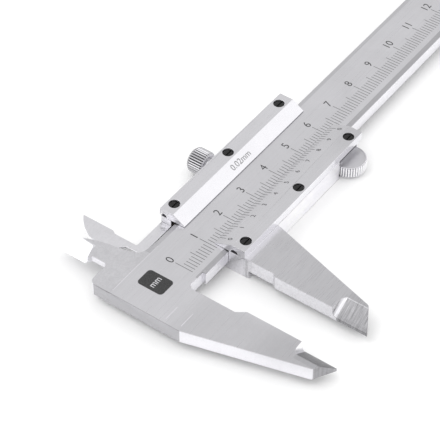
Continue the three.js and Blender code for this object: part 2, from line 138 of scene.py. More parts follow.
class Shade:
    """One material's node tree, with short methods that add nodes and return their outputs."""

    def __init__(self, name: str) -> None:
        """Starts a material that holds only an output and a Principled shader.

        Args:
            name: The material's name.
        """
        self.material = bpy.data.materials.new(name)
        self.material.use_nodes = True
        self.tree = self.material.node_tree
        self.tree.nodes.clear()
        self.bsdf = self.tree.nodes.new("ShaderNodeBsdfPrincipled")
        output = self.tree.nodes.new("ShaderNodeOutputMaterial")
        self.tree.links.new(self.bsdf.outputs[0], output.inputs["Surface"])

    def feed(self, socket: Socket, value: object) -> None:
        """Joins an output to a socket, or sets the socket where the value is plain.

        Args:
            socket: The input to fill.
            value: Another node's output, a number or a tuple.
        """
        if isinstance(value, bpy.types.NodeSocket):
            self.tree.links.new(value, socket)
        else:
            socket.default_value = value

    def coords(self, centre: Sequence[float] = (0, 0, 0), turn: Sequence[float] = (0, 0, 0),
               scale: Sequence[float] = (1, 1, 1)) -> Socket:
        """Object coordinates in millimetres, moved, then turned, then stretched.

        Args:
            centre: The point, in millimetres, that becomes the origin.
            turn: Euler angles in radians.
            scale: Factors applied last.

        Returns:
            The vector output.
        """
        source = self.tree.nodes.new("ShaderNodeTexCoord").outputs["Object"]
        shift = self.tree.nodes.new("ShaderNodeMapping")
        shift.inputs["Scale"].default_value = (1 / MM,) * 3
        shift.inputs["Location"].default_value = tuple(-c for c in centre)
        self.tree.links.new(source, shift.inputs["Vector"])
        shape = self.tree.nodes.new("ShaderNodeMapping")
        shape.inputs["Rotation"].default_value = turn
        shape.inputs["Scale"].default_value = scale
        self.tree.links.new(shift.outputs[0], shape.inputs["Vector"])
        return shape.outputs[0]

    def math(self, operation: str, first: object, second: object = 0.0, third: object = 0.0) -> Socket:
        """A Math node's result.

        Args:
            operation: The node's operation.
            first: Its first input, an output or a number.
            second: Its second.
            third: Its third, where the operation has one.

        Returns:
            The value output.
        """
        node = self.tree.nodes.new("ShaderNodeMath")
        node.operation = operation
        for socket, value in zip(node.inputs, (first, second, third)):
            self.feed(socket, value)
        return node.outputs[0]

    def split(self, vector: Socket) -> tuple[Socket, Socket, Socket]:
        """A vector's three parts.

        Args:
            vector: The output to take apart.

        Returns:
            Its x, y and z outputs.
        """
        node = self.tree.nodes.new("ShaderNodeSeparateXYZ")
        self.feed(node.inputs[0], vector)
        return tuple(node.outputs)

    def noise(self, vector: object, scale: float = 1.0, detail: float = 3.0, rough: float = 0.55,
              distortion: float = 0.0) -> Socket:
        """A Noise texture's value.

        Args:
            vector: Where it is looked up.
            scale: Cells for each unit of the vector.
            detail: Octaves.
            rough: How much the finer octaves count.
            distortion: How far the noise bends itself.

        Returns:
            A value from about 0 to 1, around 0.5.
        """
        node = self.tree.nodes.new("ShaderNodeTexNoise")
        self.feed(node.inputs["Vector"], vector)
        node.inputs["Scale"].default_value = scale
        node.inputs["Detail"].default_value = detail
        node.inputs["Roughness"].default_value = rough
        node.inputs["Distortion"].default_value = distortion
        return node.outputs["Fac"]

    def rings(self, vector: Socket, spacing: float) -> Socket:
        """Noise that varies only with the distance from the vector's z axis, as turned faces show.

        Args:
            vector: Coordinates about the axis.
            spacing: Width of a ring.

        Returns:
            The noise's value.
        """
        x, y, _ = self.split(vector)
        square = self.math("MULTIPLY_ADD", x, x, self.math("MULTIPLY", y, y))
        radius = self.math("SQRT", square)
        joined = self.tree.nodes.new("ShaderNodeCombineXYZ")
        self.feed(joined.inputs[0], self.math("DIVIDE", radius, spacing))
        return self.noise(joined.outputs[0], 1.0, 4.0, 0.7)

    def span(self, value: object, low: float, high: float, out_low: float, out_high: float,
             smooth: bool = False) -> Socket:
        """A Map Range node's result, held between its ends.

        Args:
            value: The value to map.
            low: The value that gives out_low.
            high: The value that gives out_high.
            out_low: The result's one end.
            out_high: The result's other end.
            smooth: Whether the ends are eased.

        Returns:
            The mapped output.
        """
        node = self.tree.nodes.new("ShaderNodeMapRange")
        node.interpolation_type = "SMOOTHSTEP" if smooth else "LINEAR"
        self.feed(node.inputs["Value"], value)
        ends = {"From Min": low, "From Max": high, "To Min": out_low, "To Max": out_high}
        for key, number in ends.items():
            node.inputs[key].default_value = number
        return node.outputs["Result"]

    def grey(self, level: Socket, tint: Sequence[float]) -> Socket:
        """A colour of one level times a tint.

        Args:
            level: How light it is.
            tint: Red, green and blue factors.

        Returns:
            The colour output.
        """
        node = self.tree.nodes.new("ShaderNodeCombineColor")
        for socket, part in zip(node.inputs, tint):
            self.feed(socket, self.math("MULTIPLY", level, part))
        return node.outputs[0]

    def upright(self) -> Socket:
        """Tells upright faces from flat ones.

        Returns:
            One on faces that stand upright and zero on faces that lie flat.
        """
        source = self.tree.nodes.new("ShaderNodeNewGeometry").outputs["True Normal"]
        _, _, rise = self.split(source)
        return self.span(self.math("ABSOLUTE", rise), 0.15, 0.5, 1.0, 0.0, smooth=True)

    def attribute(self, name: str) -> Socket:
        """A number stored at the piece's points.

        Args:
            name: The attribute's name.

        Returns:
            Its value.
        """
        node = self.tree.nodes.new("ShaderNodeAttribute")
        node.attribute_name = name
        return node.outputs["Fac"]

    def bump(self, height: Socket, depth: float, strength: float = 1.0) -> None:
        """Gives the shader a relief.

        Args:
            height: The relief's height, from 0 to 1.
            depth: What a height of 1 stands for, in millimetres.
            strength: How much of it counts.
        """
        node = self.tree.nodes.new("ShaderNodeBump")
        node.inputs["Distance"].default_value = depth * MM
        node.inputs["Strength"].default_value = strength
        self.feed(node.inputs["Height"], height)
        self.tree.links.new(node.outputs[0], self.bsdf.inputs["Normal"])


# ---------------------------------------------------------------------------
# Finishes
# ---------------------------------------------------------------------------

class Grain(Enum):
    """The way that grinding lines run."""

    ALONG_X = "along_x"
    TURNED_Y = "turned_y"
    TURNED_Z = "turned_z"


@dataclass(frozen=True)
class Zone:
    """A box, in millimetres, inside which ground steel looks different.

    tone and lines multiply the colour and the grinding lines, rough is added to the roughness, and
    swirl and gouged are the shares of hand-ground swirls and of coarse marks. A side at ANY is open.
    """

    low: tuple[float, float, float]
    high: tuple[float, float, float]
    soft: float = 0.3
    tone: float = 1.0
    lines: float = 1.0
    swirl: float = 0.0
    rough: float = 0.0
    gouged: float = 0.0

    def mask(self, shade: Shade, parts: Sequence[Socket]) -> Socket:
        """One inside the box and zero outside, with soft sides.

        Args:
            shade: The material being built.
            parts: The coordinates x, y and z in millimetres.

        Returns:
            The mask's output.
        """
        result: object = 1.0
        for part, low, high in zip(parts, self.low, self.high):
            for edge, sign in ((low, 1), (high, -1)):
                if abs(edge) < ANY:
                    reach = self.soft / 2
                    ends = (0, 1) if sign > 0 else (1, 0)
                    step = shade.span(part, edge - reach, edge + reach, *ends, smooth=True)
                    result = shade.math("MULTIPLY", result, step)
        return result


@dataclass(frozen=True)
class Pattern:
    """One noise over the steel: its scale per millimetre, detail, roughness and distortion, and the
    stretch of its values that counts, which is spread evenly about zero."""

    scale: float
    detail: float
    rough: float
    distortion: float = 0.0
    low: float = 0.3
    high: float = 0.7

    def value(self, shade: Shade, coords: Socket) -> Socket:
        """The noise itself, from 0 to 1."""
        return shade.noise(coords, self.scale, self.detail, self.rough, self.distortion)

    def about_zero(self, shade: Shade, value: Socket, reach: float = 0.5) -> Socket:
        """The noise's value spread from minus the reach to plus the reach."""
        return shade.span(value, self.low, self.high, -reach, reach)


CLOUDS = Pattern(0.09, 4.0, 0.6, 0.8)
SPECKS = Pattern(2.6, 2.0, 0.7)
SWIRLS = Pattern(0.55, 5.0, 0.72, 2.2, 0.35, 0.65)
GOUGES = Pattern(1.0, 4.0, 0.75)
FINE_LINES = Pattern(1.0, 3.0, 0.6, 0.0, 0.2, 0.8)
COARSE_LINES = Pattern(1.0, 3.0, 0.6, 0.0, 0.25, 0.75)


@dataclass(frozen=True)
class Wear:
    """What a piece's zones do at each place: sockets, or plain numbers where there is no zone."""

    tone: object
    lines: object
    rough: object
    swirl: object
    gouged: object


@dataclass(frozen=True)
class GroundSteel:
    """Satin stainless steel with fine grinding lines, cloudy patches, pits and zones of its own.

    spacing and length are those of a grinding line in millimetres, coarser and coarse_share say how
    much wider and weaker the second set of lines is, and gouge_shape stretches the coarse marks.
    sides brightens faces that stand upright, a painted reflection of the floor, and knurl darkens the grooves
    between ribs, painted shade in the recesses.
    """

    name: str
    tone: float = 0.6
    rough: float = 0.3
    grain: Grain = Grain.ALONG_X
    spacing: float = 0.22
    length: float = 9.0
    coarser: float = 3.0
    coarse_share: float = 0.3
    contrast: float = 0.10
    cloud: float = 0.06
    speck: float = 0.035
    gouge_shape: tuple[float, float, float] = (0.16, 2.6, 0.0)
    depth: float = 0.004
    tint: tuple[float, float, float] = (1.0, 0.992, 1.03)
    centre: tuple[float, float, float] = (0.0, 0.0, 0.0)
    groove_shade: float = 0.0
    sides: float = 1.0
    zones: tuple[Zone, ...] = ()

    def lines(self, shade: Shade, pattern: Pattern, wider: float = 1.0) -> Socket:
        """Streak noise: long one way and narrow the other, or rings on a turned face.

        Args:
            shade: The material being built.
            pattern: The noise on ground faces.
            wider: How many times the finish's own spacing.

        Returns:
            The noise's value.
        """
        spacing = self.spacing * wider
        if self.grain is Grain.TURNED_Z:
            return shade.rings(shade.coords(self.centre), spacing)
        if self.grain is Grain.TURNED_Y:
            return shade.rings(shade.coords(self.centre, (math.pi / 2, 0, 0)), spacing)
        across, along = 1 / spacing, 1 / self.length
        return pattern.value(shade, shade.coords(scale=(along, across, across)))

    def wear(self, shade: Shade, coords: Socket) -> Wear:
        """Adds up the zones.

        Args:
            shade: The material being built.
            coords: Object coordinates in millimetres.

        Returns:
            The tone's and the lines' factors, the roughness, and the shares of swirls and gouges.
        """
        parts = shade.split(coords)
        tone: object = 1.0
        lines: object = 1.0
        rough: object = self.rough
        swirl: object = 0.0
        gouged: object = 0.0
        for zone in self.zones:
            mask = zone.mask(shade, parts)
            tone = shade.math("MULTIPLY", tone, shade.math("MULTIPLY_ADD", mask, zone.tone - 1, 1.0))
            lines = shade.math("MULTIPLY", lines, shade.math("MULTIPLY_ADD", mask, zone.lines - 1, 1.0))
            rough = shade.math("MULTIPLY_ADD", mask, zone.rough, rough)
            if zone.swirl:
                swirl = shade.math("MULTIPLY_ADD", mask, zone.swirl, swirl)
            if zone.gouged:
                gouged = shade.math("MULTIPLY_ADD", mask, zone.gouged, gouged)
        return Wear(tone, lines, rough, swirl, gouged)

    def streaks(self, shade: Shade, share: object) -> Socket:
        """Fine and coarse grinding lines together.

        Args:
            shade: The material being built.
            share: How strongly they show.

        Returns:
            Their height about zero.
        """
        fine = FINE_LINES.about_zero(shade, self.lines(shade, FINE_LINES))
        wide = self.lines(shade, COARSE_LINES, self.coarser)
        coarse = COARSE_LINES.about_zero(shade, wide, self.coarse_share)
        return shade.math("MULTIPLY", shade.math("ADD", fine, coarse), share)

    def build(self) -> bpy.types.Material:
        """Makes the material.

        Returns:
            A material whose colour, roughness and relief follow the grinding lines.
        """
        shade = Shade(self.name)
        shade.bsdf.inputs["Metallic"].default_value = 1.0
        coords = shade.coords()
        wear = self.wear(shade, coords)
        streak = self.streaks(shade, wear.lines)
        cloud = CLOUDS.about_zero(shade, CLOUDS.value(shade, coords))
        speck = SPECKS.value(shade, coords)
        swirl = SWIRLS.about_zero(shade, SWIRLS.value(shade, coords))
        gouge = GOUGES.about_zero(shade, GOUGES.value(shade, shade.coords(scale=self.gouge_shape)))
        marks = shade.math("MULTIPLY_ADD", gouge, wear.gouged, shade.math("MULTIPLY", swirl, wear.swirl))
        level = shade.math("MULTIPLY_ADD", streak, self.contrast, 1.0)
        level = shade.math("MULTIPLY_ADD", cloud, self.cloud, level)
        level = shade.math("MULTIPLY_ADD", SPECKS.about_zero(shade, speck), self.speck, level)
        level = shade.math("MULTIPLY", shade.math("ADD", level, marks), wear.tone)
        level = shade.math("MULTIPLY", level, self.tone)
        # Painted reflection: faces that stand upright are brightened to look like the bright floor they
        # mirror.
        if self.sides != 1.0:
            side = shade.math("MULTIPLY_ADD", shade.upright(), self.sides - 1, 1.0)
            level = shade.math("MULTIPLY", level, side)
        # Painted shade: the grooves between the knurl's ribs are darkened.
        if self.groove_shade:
            groove = shade.span(shade.attribute("groove"), 0.15, 0.9, 1, 1 - self.groove_shade)
            level = shade.math("MULTIPLY", level, groove)
        shade.feed(shade.bsdf.inputs["Base Color"], shade.grey(level, self.tint))
        shade.feed(shade.bsdf.inputs["Roughness"], shade.math("MULTIPLY_ADD", streak, 0.07, wear.rough))
        relief = shade.math("MULTIPLY_ADD", streak, 0.8, shade.math("MULTIPLY", speck, 0.4))
        shade.bump(shade.math("MULTIPLY_ADD", marks, 3.0, relief), self.depth)
        return shade.material


@dataclass(frozen=True)
class BlackOxide:
    """Blackened steel, a little worn and uneven."""

    name: str
    tone: float = 0.02
    rough: float = 0.38

    def build(self) -> bpy.types.Material:
        """Makes the material.

        Returns:
            The finished material.
        """
        shade = Shade(self.name)
        shade.bsdf.inputs["Metallic"].default_value = 0.35
        coords = shade.coords()
        patch = shade.noise(coords, 1.4, 4.0, 0.65)
        level = shade.span(patch, 0.35, 0.75, self.tone * 0.5, self.tone * 2.2)
        shade.feed(shade.bsdf.inputs["Base Color"], shade.grey(level, (1.0, 0.98, 0.97)))
        rough = shade.span(patch, 0.3, 0.7, self.rough - 0.1, self.rough + 0.12)
        shade.feed(shade.bsdf.inputs["Roughness"], rough)
        shade.bump(patch, 0.01)
        return shade.material


@dataclass(frozen=True)
class EtchedInk:
    """Dark etched marking, slightly broken up where the etch took less."""

    name: str
    tone: float = 0.05
    rough: float = 0.6

    def build(self) -> bpy.types.Material:
        """Makes the material.

        Returns:
            The finished material.
        """
        shade = Shade(self.name)
        shade.bsdf.inputs["Metallic"].default_value = 0.0
        shade.bsdf.inputs["Specular IOR Level"].default_value = 0.25
        coords = shade.coords()
        patch = shade.noise(coords, 3.2, 3.0, 0.7)
        level = shade.span(patch, 0.3, 0.72, self.tone * 0.6, self.tone * 1.9)
        shade.feed(shade.bsdf.inputs["Base Color"], shade.grey(level, (1.0, 1.0, 1.02)))
        rough = shade.span(patch, 0.3, 0.7, self.rough - 0.1, self.rough + 0.1)
        shade.feed(shade.bsdf.inputs["Roughness"], rough)
        shade.bump(patch, 0.003)
        return shade.material


@dataclass(frozen=True)
class RolledBrass:
    """Plain rolled brass with fine lines and darker stains."""

    name: str
    colour: tuple[float, float, float] = (0.72, 0.52, 0.22)
    rough: float = 0.33

    def build(self) -> bpy.types.Material:
        """Makes the material.

        Returns:
            The finished material.
        """
        shade = Shade(self.name)
        shade.bsdf.inputs["Metallic"].default_value = 1.0
        lines = shade.noise(shade.coords(scale=(0.12, 5.0, 5.0)), 1.0, 3.0, 0.6)
        stain = shade.noise(shade.coords(), 0.5, 4.0, 0.6)
        streak = shade.span(lines, 0.3, 0.7, 0.9, 1.06)
        level = shade.math("MULTIPLY", streak, shade.span(stain, 0.3, 0.7, 0.8, 1.05))
        rough = shade.span(stain, 0.3, 0.7, self.rough + 0.1, self.rough - 0.05)
        shade.feed(shade.bsdf.inputs["Base Color"], shade.grey(level, self.colour))
        shade.feed(shade.bsdf.inputs["Roughness"], rough)
        shade.bump(lines, 0.004)
        return shade.material


@dataclass(frozen=True)
class PalePaper:
    """The floor: matt white sheet with a faint glow of its own and the faintest tooth."""

    name: str
    tone: float = 0.93
    glow: float = 0.04

    def build(self) -> bpy.types.Material:
        """Makes the material.

        Returns:
            The finished material.
        """
        shade = Shade(self.name)
        tooth = shade.noise(shade.coords(), 1.2, 3.0, 0.6)
        level = shade.span(tooth, 0.3, 0.7, self.tone * 0.99, self.tone)
        shade.feed(shade.bsdf.inputs["Base Color"], shade.grey(level, (1.0, 1.0, 1.0)))
        shade.bsdf.inputs["Roughness"].default_value = 0.9
        shade.bsdf.inputs["Specular IOR Level"].default_value = 0.1
        shade.bsdf.inputs["Emission Color"].default_value = (1, 1, 1, 1)
        shade.bsdf.inputs["Emission Strength"].default_value = self.glow
        return shade.material


# ---------------------------------------------------------------------------
# Mesh building
# ---------------------------------------------------------------------------

def link(piece: bpy.types.Object) -> bpy.types.Object:
    """Puts an object into the scene."""
    bpy.context.scene.collection.objects.link(piece)
    return piece


def mesh_object(name: str, points: Array, faces: Array) -> bpy.types.Object:
    """A flat-shaded object from whole arrays.

    Args:
        name: The piece's name.
        points: (n, 3) points in millimetres.
        faces: (m, k) corner numbers.

    Returns:
        The linked object, at the origin.
    """
    mesh = bpy.data.meshes.new(name)
    count, sides = faces.shape
    mesh.vertices.add(len(points))
    mesh.vertices.foreach_set("co", (points * MM).astype(np.float32).ravel())
    mesh.loops.add(count * sides)
    mesh.loops.foreach_set("vertex_index", faces.astype(np.int32).ravel())
    mesh.polygons.add(count)
    mesh.polygons.foreach_set("loop_start", np.arange(0, count * sides, sides, dtype=np.int32))
    mesh.polygons.foreach_set("use_smooth", np.zeros(count, dtype=bool))
    mesh.update(calc_edges=True)
    mesh.validate()
    return link(bpy.data.objects.new(name, mesh))


@dataclass(frozen=True)
class EdgeRule:
    """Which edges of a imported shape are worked: angles in degrees, area in square millimetres."""

    sharp: float = 24.0
    slight: float = 5.0
    broad: float = 2.5

    def weigh(self, work: bmesh.types.BMesh) -> None:
        """Gives the worked edges a bevel weight of one.

        They are those that turn by more than the sharp angle, and the slighter ones between two broad
        faces, such as the beam's front and its edge strips. The facets of a round hole are neither.

        Args:
            work: The mesh.
        """
        layer = work.edges.layers.float.new("bevel_weight_edge")
        for edge in work.edges:
            turn = math.degrees(edge.calc_face_angle(0.0))
            least = min(face.calc_area() for face in edge.link_faces) / MM ** 2
            edge[layer] = float(turn > self.sharp or (turn > self.slight and least > self.broad))


def bevelled_copy(node: str, name: str, width: float, segments: int = 3) -> bpy.types.Object:
    """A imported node's shape, merged, with small rounded edges, standing for that node.

    Args:
        node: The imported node.
        name: The new piece's name.
        width: The edge's width in millimetres.
        segments: Steps across the edge.

    Returns:
        The piece, which replaces the node.
    """
    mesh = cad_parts[node].data.copy()
    mesh.name = name
    mesh.materials.clear()
    work = bmesh.new()
    work.from_mesh(mesh)
    bmesh.ops.remove_doubles(work, verts=work.verts, dist=WELD)
    EdgeRule().weigh(work)
    for face in work.faces:
        face.smooth = True
    work.to_mesh(mesh)
    work.free()
    piece = link(bpy.data.objects.new(name, mesh))
    bevel = piece.modifiers.new("worked_edges", "BEVEL")
    bevel.limit_method = "WEIGHT"
    bevel.width = width * MM
    bevel.segments = segments
    bevel.use_clamp_overlap = False
    bevel.loop_slide = False
    bevel.miter_outer = "MITER_ARC"
    flats = piece.modifiers.new("flat_faces", "WEIGHTED_NORMAL")
    flats.mode = "FACE_AREA"
    flats.weight = 100
    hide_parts(node)
    return piece


def dress(piece: bpy.types.Object, body: str, material: bpy.types.Material) -> bpy.types.Object:
    """Gives a piece its finish and body, and reports it.

    Args:
        piece: The piece.
        body: The body that it moves with.
        material: Its finish.

    Returns:
        The piece.
    """
    piece.data.materials.clear()
    piece.data.materials.append(material)
    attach(piece, body)
    log.info("%s: %d faces, on %s", piece.name, len(piece.data.polygons), body)
    return piece


def revolve(name: str, profile: Array, ribs: int, rib_depth: float, weight: Array, centre: Sequence[float],
            axis: str, samples: int = 10) -> bpy.types.Object:
    """A turned and knurled body.

    The surface is P(s, a) = centre + h(s) * axis + (r(s) - d * w(s) * v(a)) * (cos a, sin a), where h and r
    are the profile's heights and radii, d the rib depth, w the profile's share of knurling, and
    v(a) = |2 * frac(ribs * a / 2 pi) - 1| ** 1.5 the groove between two ribs. The profile runs anticlockwise
    round the section and closes on itself or on the axis.

    Args:
        name: The piece's name.
        profile: (n, 2) radii and heights in millimetres.
        ribs: The number of ribs.
        rib_depth: The depth of the grooves.
        weight: (n,) share of the depth at each profile point.
        centre: The point on the axis at height 0.
        axis: "y" or "z".
        samples: Steps round each rib.

    Returns:
        The linked object.
    """
    turns = ribs * samples
    angle = np.arange(turns) * 2 * math.pi / turns
    groove = np.abs(2 * np.mod(ribs * angle / (2 * math.pi), 1.0) - 1) ** 1.5
    radius = profile[:, 0, None] - rib_depth * weight[:, None] * groove[None, :]
    height = np.repeat(profile[:, 1, None], turns, axis=1)
    flat_a, flat_b = radius * np.cos(angle), radius * np.sin(angle)
    parts = (flat_b, height, flat_a) if axis == "y" else (flat_a, flat_b, height)
    points = np.stack(parts, axis=-1).reshape(-1, 3) + np.asarray(centre)
    rows = len(profile)
    row, column = np.meshgrid(np.arange(rows - 1), np.arange(turns), indexing="ij")
    after = (column + 1) % turns
    here, there = row * turns, (row + 1) * turns
    corners = (here + column, here + after, there + after, there + column)
    faces = np.stack(corners, axis=-1).reshape(-1, 4)
    piece = mesh_object(name, points, faces)
    depth = (weight[:, None] * groove[None, :]).astype(np.float32)
    piece.data.attributes.new("groove", "FLOAT", "POINT").data.foreach_set("value", depth.ravel())
    work = bmesh.new()
    work.from_mesh(piece.data)
    bmesh.ops.remove_doubles(work, verts=work.verts, dist=FINE_WELD)
    bmesh.ops.recalc_face_normals(work, faces=work.faces)
    work.to_mesh(piece.data)
    work.free()
    return piece


def rounded_profile(corners: Sequence[tuple[float, float, float]], steps: int = 5) -> tuple[Array, Array]:
    """A section's line with its corners rounded.

    Each corner P becomes the points P + (1 - t)^2 A + t^2 B, where A and B lie on its two sides, one
    rounding away: a parabola that touches both sides.

    Args:
        corners: Radius, height and rounding of each corner, in order.
        steps: Points along each rounding.

    Returns:
        The (n, 2) points and the number of the corner that each came from.
    """
    points, source = [], []
    places = np.array([corner[:2] for corner in corners], dtype=float)
    for index, (r, h, rounding) in enumerate(corners):
        here = places[index]
        if rounding <= 0 or index in (0, len(corners) - 1):
            points.append(here[None, :])
            source.append(np.array([index]))
            continue
        back, ahead = places[index - 1] - here, places[index + 1] - here
        back = back / np.linalg.norm(back) * rounding
        ahead = ahead / np.linalg.norm(ahead) * rounding
        t = np.linspace(0, 1, steps)[:, None]
        points.append(here + (1 - t) ** 2 * back + t ** 2 * ahead)
        source.append(np.full(steps, index))
    return np.concatenate(points), np.concatenate(source)


def bars(name: str, centres: Array, sizes: Array) -> bpy.types.Object:
    """Many small boxes in one mesh.

    Args:
        name: The piece's name.
        centres: (n, 3) centres in millimetres.
        sizes: (n, 3) full sizes.

    Returns:
        The linked object.
    """
    signs = np.array([[x, y, z] for z in (-1, 1) for y in (-1, 1) for x in (-1, 1)], dtype=float) / 2
    points = (centres[:, None, :] + signs[None] * sizes[:, None, :]).reshape(-1, 3)
    quads = np.array([[0, 2, 3, 1], [4, 5, 7, 6], [0, 1, 5, 4], [2, 6, 7, 3], [0, 4, 6, 2], [1, 3, 7, 5]])
    faces = (np.arange(len(centres))[:, None, None] * len(signs) + quads[None]).reshape(-1, 4)
    return mesh_object(name, points, faces)


@dataclass(frozen=True)
class Lettering:
    """Thin numerals of the scales: their height, how much thinner than the font's they are drawn, how
    thick they are, and a capital's share of the font's size."""

    height: float
    slim: float = 0.02
    thick: float = 0.03
    cap_share: float = 0.72

    def write(self, name: str, text: str, matrix: Matrix, stretch: float = 1.0) -> bpy.types.Object:
        """Makes one word, centred, as a closed mesh.

        Args:
            name: The object's name.
            text: What it says.
            matrix: Takes the word's plane, in millimetres, to its place.
            stretch: Width over height, against the plain letter's.

        Returns:
            The linked object, at the origin.
        """
        curve = bpy.data.curves.new(name, "FONT")
        curve.body = text
        curve.align_x = "CENTER"
        curve.align_y = "CENTER"
        curve.size = self.height / self.cap_share
        curve.offset = -self.slim
        curve.extrude = self.thick / 2
        curve.resolution_u = 6
        maker = link(bpy.data.objects.new(name + "_text", curve))
        bpy.context.view_layer.update()
        mesh = bpy.data.meshes.new_from_object(maker.evaluated_get(bpy.context.evaluated_depsgraph_get()))
        bpy.data.objects.remove(maker)
        bpy.data.curves.remove(curve)
        mesh.transform(Matrix.Scale(MM, 4) @ matrix @ Matrix.Diagonal((stretch, 1, 1, 1)))
        work = bmesh.new()
        work.from_mesh(mesh)
        bmesh.ops.remove_doubles(work, verts=work.verts, dist=FINE_WELD)
        bmesh.ops.recalc_face_normals(work, faces=work.faces)
        work.to_mesh(mesh)
        work.free()
        mesh.name = name
        return link(bpy.data.objects.new(name, mesh))


def joined(name: str, pieces: Sequence[bpy.types.Object]) -> bpy.types.Object:
    """Several mesh objects made into one.

    Args:
        name: The new object's name.
        pieces: The objects, which are removed.

    Returns:
        The linked object, without materials.
    """
    work = bmesh.new()
    for piece in pieces:
        work.from_mesh(piece.data)
    mesh = bpy.data.meshes.new(name)
    work.to_mesh(mesh)
    work.free()
    for piece in pieces:
        bpy.data.objects.remove(piece)
    return link(bpy.data.objects.new(name, mesh))


# ---------------------------------------------------------------------------
# Beam
# ---------------------------------------------------------------------------

@dataclass
class Beam:
    """The beam with the fixed jaws, its scale, scribed lines and maker's plain mark."""

    at: Layout
    tick_width: float = 0.15
    proud: float = 0.012
    tick_low: float = 2.93
    long_tick: float = 8.17
    middle_tick: float = 7.35
    short_tick: float = 6.3
    numeral_y: float = 9.75
    numeral_height: float = 2.35
    reading: int = 150
    mark_place: tuple[float, float] = (-8.0, 8.2)
    mark_word_height: float = 1.9

    def head_zones(self) -> tuple[Zone, ...]:
        """Finds where the beam and its head look different.

        Returns:
            The edge strips, the hand-ground head, its rougher left end darkened with painted shade, and the
            bevel of its fin, brightened with a painted highlight.
        """
        x0, y0 = self.at.zero_x, self.at.edge_y
        strip_z = self.at.face_z - 0.32
        lower_strip = Zone((x0 - 1, y0 - 0.1, strip_z), (ANY, y0 + 1.32, ANY), 0.1, tone=0.7)
        upper_strip = Zone((x0 - 1, y0 + 15.08, -ANY), (ANY, y0 + 17, ANY), 0.1, tone=0.84)
        head = Zone((-ANY, y0 + 15.1, -ANY), (x0 + 1, ANY, ANY), 0.2, tone=0.97, swirl=0.14, lines=0.5)
        # Painted shade: the head's left end face is darkened; it is also made rougher.
        rough_shaded_left_end = Zone((-ANY, y0 - 5.8, -ANY), (x0 - 17.05, ANY, ANY), 0.15, tone=0.57, rough=0.15)
        # Painted highlight: the fin's bevel is brightened to stand for the light it reflects.
        fin_bevel_highlight = Zone((-ANY, y0 + 27.6, 0), (x0 - 6.75, ANY, ANY), 0.4, tone=1.3)
        return lower_strip, upper_strip, head, rough_shaded_left_end, fin_bevel_highlight

    def jaw_zones(self) -> tuple[Zone, ...]:
        """Finds where the fixed jaw looks different.

        Returns:
            The jaw, darkened with painted shade at its root and more towards its tip, its coarsely ground
            knife, darker partly with painted shade, and the wheel's round, brightened with a painted
            highlight.
        """
        x0, y0 = self.at.zero_x, self.at.edge_y
        front_z = self.at.face_z - 0.1
        ground_z = self.at.face_z - 0.06
        left, right = x0 - 8.2, x0 - 2.85
        knife_y, wheel_y = y0 - 32.1, y0 - 30.9
        # Painted shade: the jaw's front is darkened at its root and more towards its tip, for its dimmer
        # reflection; the root also gets faint swirls.
        root_swirls_and_shade = Zone((-ANY, -ANY, front_z), (x0 - 3, y0 - 4, ANY), 6.0, tone=0.84, swirl=0.05)
        tip_shade = Zone((-ANY, -ANY, front_z), (ANY, y0 - 24, ANY), 12.0, tone=0.78)
        # The knife is coarsely ground, and darker partly as painted shade.
        knife_gouges_and_shade = Zone((left, -ANY, -ANY), (right, knife_y, ground_z), 0.3, tone=0.44, swirl=0.2, gouged=0.5)
        # Painted highlight: the wheel's round is brightened to stand for the light it catches.
        wheel_round_highlight = Zone((left, knife_y, -ANY), (right, wheel_y, ground_z), 0.1, tone=1.5)
        return root_swirls_and_shade, tip_shade, knife_gouges_and_shade, wheel_round_highlight

    def finish(self) -> bpy.types.Material:
        """Ground steel with the head's and the jaw's own zones."""
        zones = self.head_zones() + self.jaw_zones()
        # Upright faces are brightened here, a painted reflection of the floor.
        return GroundSteel("beam_steel", tone=0.60, rough=0.30, spacing=0.14, length=16.0, contrast=0.07,
                           sides=1.55, zones=zones).build()

    def body(self, material: bpy.types.Material) -> None:
        """The steel itself."""
        dress(bevelled_copy("beam", "beam_body", 0.1), "beam", material)

    def scale(self, ink: bpy.types.Material) -> None:
        """The millimetre lines: longer every 5 mm and longest every 10 mm.

        Args:
            ink: Their finish.
        """
        step = np.arange(self.reading + 1)
        middle_top = np.where(step % 5 == 0, self.middle_tick, self.short_tick)
        top = np.where(step % 10 == 0, self.long_tick, middle_top)
        length = top - self.tick_low
        x, y, z = self.at.place(0, 0, self.at.face_z)
        depth = 0.03
        height = np.full(len(step), z + self.proud - depth / 2)
        centre = np.stack([x + step, y + self.tick_low + length / 2, height], 1)
        size = np.stack([np.full(len(step), self.tick_width), length, np.full(len(step), depth)], 1)
        dress(bars("beam_scale_lines", centre, size), "beam", ink)

    def numerals(self, ink: bpy.types.Material) -> None:
        """The centimetre numerals above the long lines.

        Args:
            ink: Their finish.
        """
        style = Lettering(self.numeral_height, slim=0.012)
        made = []
        for number in range(self.reading // 10 + 1):
            place = self.at.place(number * 10, self.numeral_y, self.at.face_z + self.proud - style.thick / 2)
            made.append(style.write(f"n{number}", str(number), Matrix.Translation(place), 0.95))
        dress(joined("beam_numerals", made), "beam", ink)

    def scribed_lines(self, bright: bpy.types.Material) -> None:
        """The thin bright line that bounds the head, and two ground lines across the jaw's root.

        Args:
            bright: Their finish.
        """
        x, y, z = self.at.place(0, 0, self.at.face_z + 0.002)
        head_line = (x - 7.0, y + 15.02, 18.0, 0.12)
        root_lines = ((x - 13.6, y - 0.9, 4.6, 0.16), (x - 13.2, y - 5.2, 4.9, 0.16))
        middle_x, middle_y, length, width = np.array([head_line, *root_lines]).T
        centre = np.column_stack([middle_x, middle_y, np.full(len(length), z)])
        size = np.column_stack([length, width, np.full(len(length), 0.02)])
        dress(bars("beam_scribed_lines", centre, size), "beam", bright)

